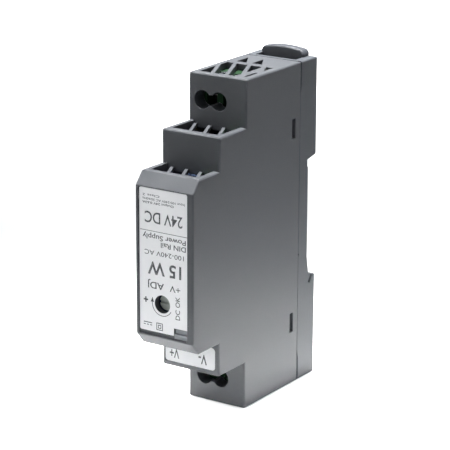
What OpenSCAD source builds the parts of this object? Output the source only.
// Slim single-output power supply in a one-module case for a 35 mm rail.
// Frame: X across the module, -Y out of the front, +Z towards the latch end.
// The origin is the centre of the face that seats on the rail.

/* [Case] */
// Width of the module
case_w = 18; // [17.9:0.05:18.2]
// Height of the module, end to end
case_h = 90; // [90:0.5:92]
// Rail seat to the front of the nose
nose_front = 55.2; // [55:0.1:56]
// Rail seat to the front of the step below the nose
step_front = 43.2; // [43:0.1:43.6]
// Rail seat to the front of the terminal shoulders
shoulder_front = 31; // [30.8:0.1:31.4]
// Half height of the nose
nose_half = 23.25; // [23.2:0.05:23.6]
// Half height of the step
step_half = 32.2; // [32:0.1:32.4]
// Thickness of the side walls
side_wall = 1.6; // [1.4:0.1:1.6]
// Thickness of the front and end walls
end_wall = 1.8; // [1.6:0.1:1.8]
// Radius of the upright edges
edge_r = 0.6; // [0.4:0.1:0.8]

/* [Rail grip] */
// Rail seat to the joint between front case and rear cover
parting = 4.65; // [4.6:0.05:4.8]
// How far the rear cover reaches behind the rail seat
rear_depth = 4.1; // [4.1:0.1:4.4]
// Travel of the latch when it is pulled
latch_travel = 4.5; // [3:0.5:4.5]
// How far the pull tab stands above the case
tab_reach = 3.2; // [2:0.1:4]

/* [Terminals] */
// Pitch of the two poles of a terminal block
pole_pitch = 5.08; // [5:0.01:5.1]
// Radius of a wire entry
entry_r = 2.42; // [2:0.01:2.45]
// Height of the wire entries above the middle of the case
entry_z = 38; // [37.8:0.1:38.2]
// Middle of the input pair across the case
input_x = -2.16; // [-2.2:0.01:-2.1]
// Middle of the output pair across the case
output_x = -1.26; // [-1.3:0.01:-1.2]
// Travel of a clamp cage
cage_travel = 2; // [1:0.5:2]

/* [Trimmer] */
// Radius of the access hole
trim_hole_r = 2.43; // [2.2:0.01:2.5]
// Place of the hole across the case
trim_x = -0.74; // [-1:0.01:-0.5]
// Place of the hole along the case
trim_z = -10.8; // [-11:0.1:-10.6]

/* [Circuit board] */
// Board thickness
board_t = 1.6; // [1.4:0.1:1.6]
// Component face of the board
board_x = 4.0; // [4:0.05:4.1]
// Radius of a component lead
lead_r = 0.35; // [0.3:0.05:0.4]

/* [Hidden] */
$fn = 48;
eps = 0.05;          // overrun of a cut past the face it opens
half_w = case_w / 2;
end_z = case_h / 2;
in_x = half_w - side_wall;                 // inner face of the side walls
in_z = end_z - end_wall;                   // inner face of the end walls
front_wall = 2;
joint_gap = 0.1;                           // gap of the joint between case and cover
chamfer_y = 2.8;                           // chamfer of the nose, along Y
chamfer_z = 3.25;                          // the same, along Z
recess_d = 0.4;                            // depth of the label recess
label_t = 0.15;
nose_floor = -(nose_front - recess_d);     // floor of the label recess
board_x1 = board_x + board_t;              // solder face of the board
rib_slope = 0.46;                          // slant of all vent ribs, X per Y
rib_w = 1.2;
rib_pitch = 4.45;
rib_sink = 0.4;                            // ribs of the step vents lie below the rim
window_y = [-8.5, -6.95];                  // snap windows in the side walls
window_z = [24.6, 30.0];
slot_x = 6.4;                              // half width of the latch channel
slot_y = [-3, 2.95];                       // latch pocket, front to back
plate_y = [0.25, 2.75];                    // latch plate, front to back
latch_x = 6.1;
post_z = [36.6, 38.0];                     // stop post of the latch
seat_top = 15.2;                           // the rail seat ends here, short of the latch nose
seat_relief = 0.3;                         // depth of the relief beyond it
spring_z = [26, 36.6];
spring_r = 1.1;
spring_wire = 0.4;
spring_turns = 8;
bar_z = [38.3, 39.0];                      // contact bar inside a terminal
bar_gap = 0.05;
cage_bottom = 34.5;
cage_plate = 0.9;
head_z = [42.0, 43.0];                     // clamp screw head
pole_y = [-22.4, -18.0];                   // a clamp cage, front to back
block_y = [-26.4, -14.0];
block_z = [33, 43.05];
shank_r = 1.25;
pipe_x = [2.9, 7.1];                       // opening for the light pipe
pipe_z = [-19.4, -16.7];

// Where each component's leads go through the board, as [y, z]
fuse_leads = [[-11.2, 34.7], [-11.2, 39.8]];
varistor_leads = [[-11.5, 22], [-11.5, 27]];
thermistor_leads = [[-11.5, 11], [-11.5, 16]];
x_cap_leads = [[-25, 14], [-25, 24]];
choke_leads = [for (y = [-20.9, -15.9], z = [16.5, 22.5]) [y, z]];
bridge_leads = [[-39.2, 23], [-39.2, 28], [-31.4, 23], [-31.4, 28]];
controller_leads = [for (y = [-13.6, -6], z = [-1.3, 1.24, 3.78, 6.32]) [y, z]];
y_cap_leads = [[-11.5, -12.5], [-11.5, -7.5]];
opto_leads = [for (y = [-39.1, -31.5], z = [-5.9, -3.36]) [y, z]];
inductor_leads = [[-9.8, -24.5], [-9.8, -19.5]];
transformer_leads = [for (y = [-27.6, -16.4], z = [-7, -3.5, 3.5, 7]) [y, z]];
trimmer_leads = [for (dz = [-2.2, 0, 2.2]) [-49.8, trim_z + dz]];
bulk_1_leads = [[-37.9, 1.6], [-32.9, 1.6]];
bulk_2_leads = [[-49.3, 0.6], [-44.3, 0.6]];
out_cap_1_leads = [[-37.9, -9.6], [-32.9, -9.6]];
out_cap_2_leads = [[-26.4, -11.1], [-22.9, -11.1]];
snubber_leads = [[-26.5, 10.3], [-15.2, 10.3]];
rectifier_leads = [[-17.6, -9.6], [-17.6, -23.4]];
tail_y = -15.25;                            // where the terminal tails meet the board
tail_z = [28, 32];                          // outer pole, inner pole
tail_leads = [for (s = [-1, 1], z = tail_z) [tail_y, s * z]];
pin_leads = concat(fuse_leads, varistor_leads, thermistor_leads, x_cap_leads, choke_leads,
    bridge_leads, controller_leads, y_cap_leads, opto_leads, inductor_leads, transformer_leads,
    trimmer_leads, bulk_1_leads, bulk_2_leads, out_cap_1_leads, out_cap_2_leads, snubber_leads,
    rectifier_leads);

// ---- helpers ----

// A box between two corners
module block(lo, hi) { translate(lo) cube(hi - lo); }

// Extrude a [y, z] outline from x0 to x1
module along_x(x0, x1) {
    translate([x0, 0, 0]) rotate([90, 0, 90]) linear_extrude(x1 - x0) children();
}

// Extrude an [x, z] outline from y0 to y1
module along_y(y0, y1) {
    translate([0, y1, 0]) rotate([90, 0, 0]) linear_extrude(y1 - y0) children();
}

// Extrude an [x, y] outline from z0 to z1
module along_z(z0, z1) { translate([0, 0, z0]) linear_extrude(z1 - z0) children(); }

// A rectangle whose corners are rounded
module round_rect(lo, hi, r) {
    translate([lo.x + r, lo.y]) square([hi.x - lo.x - 2 * r, hi.y - lo.y]);
    translate([lo.x, lo.y + r]) square([hi.x - lo.x, hi.y - lo.y - 2 * r]);
    for (x = [lo.x + r, hi.x - r], y = [lo.y + r, hi.y - r]) translate([x, y]) circle(r);
}

// A straight lead of one component, from x0 down to the solder face
module lead(p, x0) { along_x(x0, board_x1) translate(p) circle(lead_r, $fn = 16); }

// A lead that leaves a lying part at x0, z0 and turns to the board
module bent_lead(p, x0, z0) {
    turn = p.y > z0 ? lead_r : -lead_r;
    lead(p, x0 - lead_r);
    along_z(min(z0, p.y + turn), max(z0, p.y + turn)) translate([x0, p.x]) circle(lead_r, $fn = 16);
}

// ---- case ----

// One storey of the case: rounded front edges, square at the back
module storey(front, half_z, half_x, r) {
    along_z(-half_z, half_z) {
        translate([-half_x, -front + r]) square([2 * half_x, front - r - parting]);
        translate([-half_x + r, -front]) square([2 * (half_x - r), 2 * r]);
        for (x = [-half_x + r, half_x - r]) translate([x, -front + r]) circle(r);
    }
}

// The stepped space inside the walls
module case_room() {
    y_back = -parting + eps;
    for (room = [[shoulder_front, end_z], [step_front, step_half], [nose_front, nose_half]])
        block([-in_x, -room[0] + front_wall, -room[1] + end_wall], [in_x, y_back, room[1] - end_wall]);
}

// The wedge beyond the chamfer at one end of the nose, moved inwards by t
module nose_chamfer(s, t) {
    run = 3;
    len = norm([chamfer_y, chamfer_z]);
    along = [chamfer_y, chamfer_z] / len;
    inward = [chamfer_z, -chamfer_y] / len;
    low = [-nose_front, nose_half - chamfer_z] - run * along + t * inward;
    high = [-nose_front + chamfer_y, nose_half] + run * along + t * inward;
    outward = -(t + run) * inward;
    scale([1, 1, s]) along_x(-half_w - eps, half_w + eps) polygon([low, high, high + outward, low + outward]);
}

// Slanted ribs of a vent, in plan: x is given where a rib meets y0
module ribs(x0, count, y0, y1) {
    run = y1 - y0;
    for (i = [0:count - 1]) {
        x = x0 + i * rib_pitch;
        polygon([[x - rib_w / 2, y0], [x + rib_w / 2, y0],
            [x + rib_w / 2 - rib_slope * run, y1], [x - rib_w / 2 - rib_slope * run, y1]]);
    }
}

// The vents in one end of the case, in plan
module end_vents() {
    difference() {
        translate([-7, -29]) square([11.1, 13.3]);
        ribs(-2.9, 4, -29 - eps, -15.7 + eps);
    }
    translate([6.3, -28]) square([0.7, 5.5]);
    polygon([[4.9, -15.2], [7.1, -15.2], [6.9, -19.6]]);
    for (i = [0, 1]) translate([-5.6 + 4.8 * i, -13.5]) polygon([[0, 0], [0, 5.6], [3.1, 0]]);
}

// The vent in a ledge whose outer face is at z, between y0 and y1
module ledge_vent(s, z, y0, y1) {
    inner = z - end_wall - eps;
    scale([1, 1, s]) {
        along_z(inner, z + eps) difference() {
            translate([-7.3, y0]) square([14.4, y1 - y0 + eps]);
            ribs(-6.75, 4, y0 - eps, y1 + 2 * eps);
        }
        along_z(z - rib_sink, z + eps) translate([-7.3, y0]) square([14.4, y1 - y0 + eps]);
    }
}

// The pair of wire entries of one end, with the neck between them
module entry_pair(x_mid, s) {
    along_y(-shoulder_front - eps, -26.6 + eps) translate([x_mid, s * entry_z]) {
        for (side = [-1, 1]) translate([side * pole_pitch / 2, 0]) circle(entry_r, $fn = 64);
        square([pole_pitch, 2.8], center = true);
    }
}

// The pad inside the wall that makes the wire entries longer
module entry_pad(x_mid, s) {
    pad_x = [max(-in_x - eps, x_mid - 5.6), min(3.7, x_mid + 5.6)];
    z = [for (h = [entry_z - 3.4, entry_z + 3.4]) s * h];
    block([pad_x[0], -shoulder_front + front_wall - eps, min(z)], [pad_x[1], -26.6, max(z)]);
}

module front_case() color("#50565c") difference() {
    union() {
        difference() {
            union() {
                storey(shoulder_front, end_z, half_w, edge_r);
                storey(step_front, step_half, half_w, edge_r);
                storey(nose_front, nose_half, half_w, edge_r);
            }
            difference() {
                case_room();
                for (s = [-1, 1]) nose_chamfer(s, end_wall);
            }
        }
        entry_pad(input_x, 1);
        entry_pad(output_x, -1);
        // guide ribs that hold the two ends of the board
        for (s = [-1, 1], x = [board_x - 0.55, board_x1 + 0.05]) {
            z = [s * (in_z - 1.1), s * (in_z + eps)];
            block([x, -13.5, min(z)], [x + 0.5, -6, max(z)]);
        }
    }
    for (s = [-1, 1]) {
        nose_chamfer(s, 0);
        along_z(min(s * (in_z - eps), s * (end_z + eps)), max(s * (in_z - eps), s * (end_z + eps)))
            end_vents();
        ledge_vent(s, step_half, -40.8, -shoulder_front);
        ledge_vent(s, nose_half, -50.5, -step_front);
        for (x = [-half_w - eps, in_x - eps])
            block([x, window_y[0], min(s * window_z)], [x + side_wall + 2 * eps, window_y[1], max(s * window_z)]);
    }
    entry_pair(input_x, 1);
    entry_pair(output_x, -1);
    // label recess, and the holes for the trimmer and the light pipe
    along_y(-nose_front - eps, nose_floor) round_rect([-8, -19.6], [7.2, 19.8], 0.6);
    along_y(-step_front - eps, -step_front + 0.3) round_rect([-8.3, -31], [7.7, -24.6], 1);
    along_y(-nose_front - eps, -nose_front + front_wall + eps) translate([trim_x, trim_z])
        circle(trim_hole_r, $fn = 64);
    block([pipe_x[0], -nose_front - eps, pipe_z[0]], [pipe_x[1], -nose_front + front_wall + eps, pipe_z[1]]);
}

// Side view of the rear cover: rail seat, wedge and fixed hook
cover_front = -parting + joint_gap;
cover_profile = [[cover_front, end_z], [rear_depth, end_z], [rear_depth, 18],
    [-seat_relief, 17.1], [-seat_relief, seat_top], [0, seat_top], [0, -10.2],
    [0.95, -15.3], [1.9, -16], [0.55, -18.2], [1.6, -18.2], [2.8, -16.1], [3.9, -16.1],
    [rear_depth, -16.4], [rear_depth, -end_z], [cover_front, -end_z]];

module rear_cover() color("#565c62") {
    difference() {
        along_x(-half_w, half_w) polygon(cover_profile);
        block([-in_x, cover_front - eps, -end_z + end_wall], [in_x, 2.4, -20]);
        block([-in_x, cover_front - eps, -20 - eps], [in_x, -1.8, 15]);
        // latch pocket, latch channel and the window behind the latch
        block([-slot_x, slot_y[0], 24], [slot_x, 0.1, end_z + eps]);
        block([-slot_x, 0, 15], [slot_x, slot_y[1], end_z + eps]);
        block([-4.2, slot_y[1] - eps, 22], [4.2, rear_depth + eps, 41]);
    }
    // stop post that the latch spring pushes against
    block([-1, slot_y[0] - eps, post_z[0]], [1, plate_y[1] - 0.1, post_z[1]]);
    // snap tongues with their lugs
    for (m = [0, 1], s = [-1, 1]) mirror([m, 0, 0]) {
        z = [min(s * window_z), max(s * window_z)];
        block([in_x - 1.2, -9.4, z[0] - 0.4], [in_x - 0.15, cover_front + eps, z[1] + 0.4]);
        block([in_x - 1.2, cover_front, z[0] - 0.4], [in_x + eps, -2.6, z[1] + 0.4]);
        block([in_x - 0.2, window_y[0] + 0.1, z[0] + 0.15], [in_x + 0.5, window_y[1] - 0.1, z[1] - 0.15]);
    }
}

module front_label() color("#ececec") along_y(nose_floor - label_t, nose_floor) difference() {
    round_rect([-7.8, -18.6], [7.05, 19.6], 0.5);
    translate([trim_x, trim_z]) circle(trim_hole_r, $fn = 64);
    translate([pipe_x[0] - 0.1, -19]) square([5, 19 + pipe_z[1] + 0.15]);
}

module output_label() color("#ececec") along_y(-step_front + 0.3 - label_t, -step_front + 0.3)
    round_rect([-8.2, -30.9], [7.6, -24.7], 0.9);

module light_pipe() color("#9a9c9e") {
    gap = 0.05;
    block([pipe_x[0] + gap, nose_floor - 0.1, pipe_z[0] + gap], [pipe_x[1] - gap, -53.1, pipe_z[1] - gap]);
    block([3, -53.15, -18.9], [board_x - 0.1, -50.6, -17.2]);
}

// ---- rail latch ----

module latch_slider() color("#43484e") difference() {
    along_y(plate_y[0], plate_y[1]) {
        top = end_z + tab_reach;
        intersection() {
            union() {
                round_rect([-latch_x, 30], [latch_x, top], 2);
                translate([-latch_x, 15.6]) square([2 * latch_x, 20]);
            }
            translate([0, top - 40]) circle(40, $fn = 180);
        }
    }
    // window for the spring and the stop post
    block([-1.75, -1, spring_z[0]], [1.75, 4, post_z[1] + 0.3]);
    // clearance for the rail flange, and the ramp that rides over it
    along_x(-7, 7) polygon([[-1, 15], [1.2, 15], [1.2, 17.3], [-1, 17.3]]);
    along_x(-7, 7) polygon([[1.2, 15], [4, 15], [4, 18.2], [1.2, 15.65]]);
}

// A coil spring as one swept tube between z0 and z1
module coil(r, wire, z0, z1, turns) {
    sides = 8;
    steps = turns * 16;
    rise = z1 - z0 - wire;
    ring = function(k) let (a = 360 * turns * k / steps, z = z0 + wire / 2 + rise * k / steps)
        [for (j = [0:sides - 1]) let (b = 360 * j / sides, d = r + wire / 2 * cos(b))
            [d * cos(a), d * sin(a), z + wire / 2 * sin(b)]];
    points = [for (k = [0:steps]) each ring(k)];
    walls = [for (k = [0:steps - 1], j = [0:sides - 1]) let (n = (j + 1) % sides, p = k * sides)
        [p + n, p + sides + n, p + sides + j, p + j]];
    polyhedron(points, concat(walls, [[for (j = [sides - 1:-1:0]) j]],
        [[for (j = [0:sides - 1]) steps * sides + j]]));
}

module latch_spring() color("#c8ccd0") translate([0, (plate_y[0] + plate_y[1]) / 2, 0])
    coil(spring_r, spring_wire, spring_z[0] + 0.05, spring_z[1] - 0.05, spring_turns);

// ---- terminals: each is drawn at the upper end, at x = 0 ----

// Place a terminal piece: s is the end of the case, side the pole
module at_pole(x_mid, s, side) {
    translate([x_mid + side * pole_pitch / 2, 0, 0]) scale([1, 1, s]) children();
}

module terminal_block(x_mid, s) color("#3fae49") difference() {
    x = [x_mid - 5.1, x_mid + 5.1];
    scale([1, 1, s]) block([x[0], block_y[0], block_z[0]], [x[1], block_y[1], block_z[1]]);
    for (side = [-1, 1]) at_pole(x_mid, s, side) {
        block([-2.1, pole_y[0] - 0.2, 34.2], [2.1, pole_y[1] + 0.2, head_z[0] + 0.1]);
        block([-1.6, block_y[0] - eps, 35.3], [1.6, pole_y[0], 39.6]);
        block([-1.5, block_y[0] + 0.6, bar_z[0] - 0.1], [1.5, -14.8, bar_z[1] + 0.1]);
        block([-1.5, -15.7, block_z[0] - eps], [1.5, -14.8, bar_z[1]]);
        along_z(head_z[0], block_z[1] + eps) translate([0, (pole_y[0] + pole_y[1]) / 2])
            circle(1.85);
    }
}

// Contact bar with the tail that runs down and across to the board
module contact(x_mid, s, side) color("#d9dcdf") {
    reach = board_x1 - x_mid - side * pole_pitch / 2;
    z = side > 0 ? tail_z[1] : tail_z[0];
    at_pole(x_mid, s, side) {
        block([-1.35, -25.4, bar_z[0]], [1.35, -14.9, bar_z[1]]);
        block([-1.35, -15.6, z - 0.4], [1.35, -14.9, bar_z[1]]);
        block([0, -15.6, z - 0.4], [reach, -14.9, z + 0.4]);
    }
}

module cage(x_mid, s, side) color("#c9ced2") at_pole(x_mid, s, side) {
    top = bar_z[1] + bar_gap;
    difference() {
        block([-2, pole_y[0], cage_bottom], [2, pole_y[1], top + cage_plate]);
        block([-1.45, pole_y[0] - eps, cage_bottom + cage_plate], [1.45, pole_y[1] + eps, top]);
        along_z(top - eps, top + 2) translate([0, (pole_y[0] + pole_y[1]) / 2]) circle(shank_r + 0.05);
    }
}

module clamp_screw(x_mid, s, side) color("#dfe2e5") at_pole(x_mid, s, side)
    translate([0, (pole_y[0] + pole_y[1]) / 2, 0]) difference() {
        union() {
            along_z(bar_z[1] + 0.03, head_z[0] + eps) circle(shank_r);
            along_z(head_z[0], head_z[1]) circle(1.7);
        }
        block([-2, -0.3, head_z[1] - 0.5], [2, 0.3, head_z[1] + eps]);
        block([-0.3, -1.2, head_z[1] - 0.5], [0.3, 1.2, head_z[1] + eps]);
    }

// ---- board ----

// The stepped outline of the board, as [y, z]
module board_outline(inset) {
    for (room = [[shoulder_front, end_z - 0.6], [step_front, step_half], [nose_front - 0.8, nose_half]])
        translate([-room[0] + front_wall + inset, -(room[1] - end_wall - inset)])
            square([room[0] - front_wall - inset - 5.2, 2 * (room[1] - end_wall - inset)]);
}

module main_board() color("#2f6b3c") difference() {
    along_x(board_x, board_x1) board_outline(0);
    for (p = pin_leads) along_x(board_x - eps, board_x1 + eps) translate(p) circle(0.45, $fn = 16);
    for (p = tail_leads) along_x(board_x - eps, board_x1 + eps) translate(p) circle(0.62, $fn = 16);
    // corners cut back behind the chamfers of the nose
    for (s = [-1, 1]) along_x(board_x - eps, board_x1 + eps) polygon([
        [-nose_front + 2.7, s * 17], [-nose_front + 2.7, s * 22], [-nose_front + 6, s * 22]]);
}

module solder_joints() color("#b9bdc0")
    for (p = concat(pin_leads, tail_leads)) translate([board_x1, p.x, p.y]) rotate([0, 90, 0])
        cylinder(h = 0.45, r1 = 0.85, r2 = 0.35, $fn = 16);

module insulation_sheet() color("#e6dcb4") along_x(board_x1 + 0.7, board_x1 + 0.9) difference() {
    board_outline(0.4);
    translate([-9.8, -50]) square([10, 100]);
    for (s = [-1, 1]) polygon([[-nose_front, s * 16], [-nose_front, s * 23], [-nose_front + 7, s * 23]]);
}

// ---- components ----

// A flat disc standing on the board with two leads
module disc_part(leads, d, t) {
    mid = (leads[0] + leads[1]) / 2;
    along_y(mid.x - t / 2, mid.x + t / 2) translate([board_x - 0.6 - d / 2, mid.y]) circle(d = d);
    for (p = leads) lead(p, board_x - 2);
}

// A small box body on the board with leads at its two long sides
module chip(leads, y, z, h) {
    block([board_x - 0.4 - h, y[0], z[0]], [board_x - 0.4, y[1], z[1]]);
    for (p = leads) {
        edge = p.x < (y[0] + y[1]) / 2 ? [p.x - 0.12, y[0] + eps] : [y[1] - eps, p.x + 0.12];
        block([board_x - 0.4 - h / 2, edge[0], p.y - 0.35], [board_x - 0.15 - h / 2, edge[1], p.y + 0.35]);
        block([board_x - 0.4 - h / 2, p.x - 0.12, p.y - 0.25], [board_x1, p.x + 0.12, p.y + 0.25]);
    }
}

// A can lying on the board: leads leave the end at z0 and turn down; the far end is at z1
module lying_can(leads, d, z0, z1) {
    y = (leads[0].x + leads[1].x) / 2;
    x = board_x - 0.3 - d / 2;
    groove = z0 + sign(z1 - z0) * 2.2;
    difference() {
        along_z(min(z0, z1), max(z0, z1)) translate([x, y]) circle(d = d);
        translate([x, y, groove]) rotate_extrude() translate([d / 2 + 0.25, 0]) circle(0.5, $fn = 24);
    }
    for (p = leads) bent_lead(p, x, z0);
}

module fuse() color("#3a3a3d") {
    block([board_x - 8.6, -13.2, 33], [board_x - 0.2, -9.2, 41.5]);
    for (p = fuse_leads) lead(p, board_x - 0.25);
}
module inrush_thermistor() color("#2f4a3c") disc_part(thermistor_leads, 8, 4);
module varistor() color("#2c5fa8") disc_part(varistor_leads, 9, 3.8);
module y_capacitor() color("#3d6fb4") disc_part(y_cap_leads, 7.5, 3.8);

module x_capacitor() color("#e3c33c") {
    block([board_x - 10.8, -28, 12.4], [board_x - 0.2, -22.2, 25.6]);
    for (p = x_cap_leads) lead(p, board_x - 0.25);
}

choke_mid = [board_x - 5.9, -18.4, 19.5];
module choke_core() color("#3f5d46") translate(choke_mid) rotate([90, 0, 0]) difference() {
    cylinder(h = 3.9, d = 8.4, center = true);
    cylinder(h = 5, d = 4.6, center = true);
}

// Two half windings round the ring core, each turn one square band
module choke_windings() color("#b5652c") {
    translate(choke_mid) rotate([90, 0, 0]) for (half = [0, 180], i = [-3:3])
        rotate([0, 0, half + i * 19]) translate([3.25, 0, 0]) difference() {
            cube([3.1, 0.62, 5], center = true);
            cube([2.14, 1, 4.04], center = true);
        }
    for (p = choke_leads) lead(p, board_x - 4.3);
}

module bridge_rectifier() color("#2b2b2e") chip(bridge_leads, [-38.4, -32.2], [21.6, 29.6], 3);
module switching_controller() color("#29292c") chip(controller_leads, [-13, -6.6], [-2.2, 7.2], 3.2);
module optocoupler() color("#ededee") chip(opto_leads, [-38.5, -32.1], [-7, -2.4], 3.2);
module bulk_capacitor_upper() color("#27344f") lying_can(bulk_1_leads, 9.8, 3, 20);
module bulk_capacitor_lower() color("#27344f") lying_can(bulk_2_leads, 9.8, 2, 20);
module output_capacitor_front() color("#26282b") lying_can(out_cap_1_leads, 9.8, -11, -27);
module output_capacitor_rear() color("#26282b") lying_can(out_cap_2_leads, 7.8, -12.5, -26.5);

// An axial part on two bent leads, lying along Y or Z
module snubber_resistor() color("#6f8fb0") {
    p = snubber_leads;
    x = board_x - 1.8;
    along_y(-24.2, -17.6) translate([x, p[0].y]) circle(1.2);
    along_y(p[0].x - lead_r, p[1].x + lead_r) translate([x, p[0].y]) circle(lead_r, $fn = 16);
    for (q = p) lead(q, x);
}

module output_rectifier() color("#313236") {
    p = rectifier_leads;
    x = board_x - 3;
    along_z(-21, -12) translate([x, p[0].x]) circle(2.3);
    along_z(p[1].y - lead_r, p[0].y + lead_r) translate([x, p[0].x]) circle(lead_r, $fn = 16);
    for (q = p) lead(q, x);
}

// Flyback transformer: E cores round a bobbin whose axis lies along Z
tr = [board_x - 5.6, -22, 0];
module transformer_core() color("#33353a") translate(tr) {
    difference() {
        block([-2.4, -6.5, -6.6], [2.4, 6.5, 6.6]);
        for (s = [-1, 1]) block([-3, min(s * 2.0, s * 5.1), -5], [3, max(s * 2.0, s * 5.1), 5]);
    }
}

module transformer_bobbin() color("#26272a") translate(tr) {
    difference() {
        union() {
            block([-3, -2.6, -4.9], [3, 2.6, 4.9]);
            for (s = [-1, 1]) block([-5, -5, s > 0 ? 4.2 : -4.9], [5, 5, s > 0 ? 4.9 : -4.2]);
        }
        block([-2.45, -2.05, -6], [2.45, 2.05, 6]);
    }
    // pin rails that carry the leads down to the board
    for (s = [-1, 1]) block([5 - eps, min(s * 3.2, s * 5.9), -7.6], [5.4, max(s * 3.2, s * 5.9), 7.6]);
    translate(-tr) for (p = transformer_leads) lead(p, board_x - 0.25);
}

module transformer_winding() color("#e0b93a") translate(tr) difference() {
    along_z(-4.15, 4.15) round_rect([-4.8, -4.9], [4.8, 4.9], 1.5);
    block([-3.05, -2.65, -5], [3.05, 2.65, 5]);
}

ind = [board_x - 0.5, -9.8, -22];
module inductor_core() color("#303236") translate(ind) rotate([0, -90, 0]) {
    cylinder(h = 1, r = 3.8);
    translate([0, 0, 0.9]) cylinder(h = 6.2, r = 1.8);
    translate([0, 0, 7]) cylinder(h = 1, r = 3.8);
}

module inductor_winding() color("#b5652c") {
    translate(ind) rotate([0, -90, 0]) difference() {
        translate([0, 0, 1.05]) cylinder(h = 5.9, r = 3.3);
        cylinder(h = 9, r = 1.85);
    }
    for (p = inductor_leads) lead(p, board_x - 0.45);
}

module trimmer_body() color("#3b6ea5") {
    difference() {
        block([trim_x - 3, -52, trim_z - 3], [trim_x + 3, -47.5, trim_z + 3]);
        along_y(-52.1, -49) translate([trim_x, trim_z]) circle(1.04, $fn = 64);
    }
    for (p = trimmer_leads) lead(p, trim_x + 2.95);
}

module trimmer_rotor() color("#b9bbbd") translate([trim_x, 0, trim_z]) difference() {
    union() {
        along_y(-52.95, -52.05) circle(2.1);
        along_y(-52.1, -49.1) circle(1, $fn = 64);
    }
    block([-2.2, -53, -0.35], [2.2, -52.5, 0.35]);
}

module status_led() color("#dfe6d0") block([board_x - 0.9, -50.4, -18.9], [board_x, -48.8, -17.3]);

// Small surface-mounted resistors and capacitors, as [y, z, length]
surface_places = [[-45, -4, 2], [-47.5, -4, 2], [-50, -4, 2], [-43.5, -19, 2], [-45.5, -16, 2],
    [-43.5, -13, 1.6], [-30.4, -20, 1.6], [-30.4, -9, 1.6], [-8, -31, 2], [-8, -34.5, 2],
    [-8, -38, 2], [-11, -36, 1.6], [-15, 12, 2], [-7.5, 20, 1.6]];
module surface_parts() color("#8d7f6a") for (p = surface_places)
    block([board_x - 0.65, p[0] - 0.65, p[1] - p[2] / 2], [board_x, p[0] + 0.65, p[1] + p[2] / 2]);

front_case();
rear_cover();
front_label();
output_label();
light_pipe();
latch_slider();
latch_spring();
main_board();
solder_joints();
insulation_sheet();
terminal_block(input_x, 1);  // input_block
terminal_block(output_x, -1);  // output_block
contact(input_x, 1, -1);  // input_contact_left
contact(input_x, 1, 1);  // input_contact_right
contact(output_x, -1, -1);  // output_contact_left
contact(output_x, -1, 1);  // output_contact_right
cage(input_x, 1, -1);  // input_cage_left
cage(input_x, 1, 1);  // input_cage_right
cage(output_x, -1, -1);  // output_cage_left
cage(output_x, -1, 1);  // output_cage_right
clamp_screw(input_x, 1, -1);  // input_screw_left
clamp_screw(input_x, 1, 1);  // input_screw_right
clamp_screw(output_x, -1, -1);  // output_screw_left
clamp_screw(output_x, -1, 1);  // output_screw_right
trimmer_body();
trimmer_rotor();
status_led();
fuse();
inrush_thermistor();
varistor();
x_capacitor();
choke_core();
choke_windings();
bridge_rectifier();
bulk_capacitor_upper();
bulk_capacitor_lower();
switching_controller();
snubber_resistor();
transformer_core();
transformer_bobbin();
transformer_winding();
y_capacitor();
optocoupler();
output_rectifier();
output_capacitor_front();
output_capacitor_rear();
inductor_core();
inductor_winding();
surface_parts();
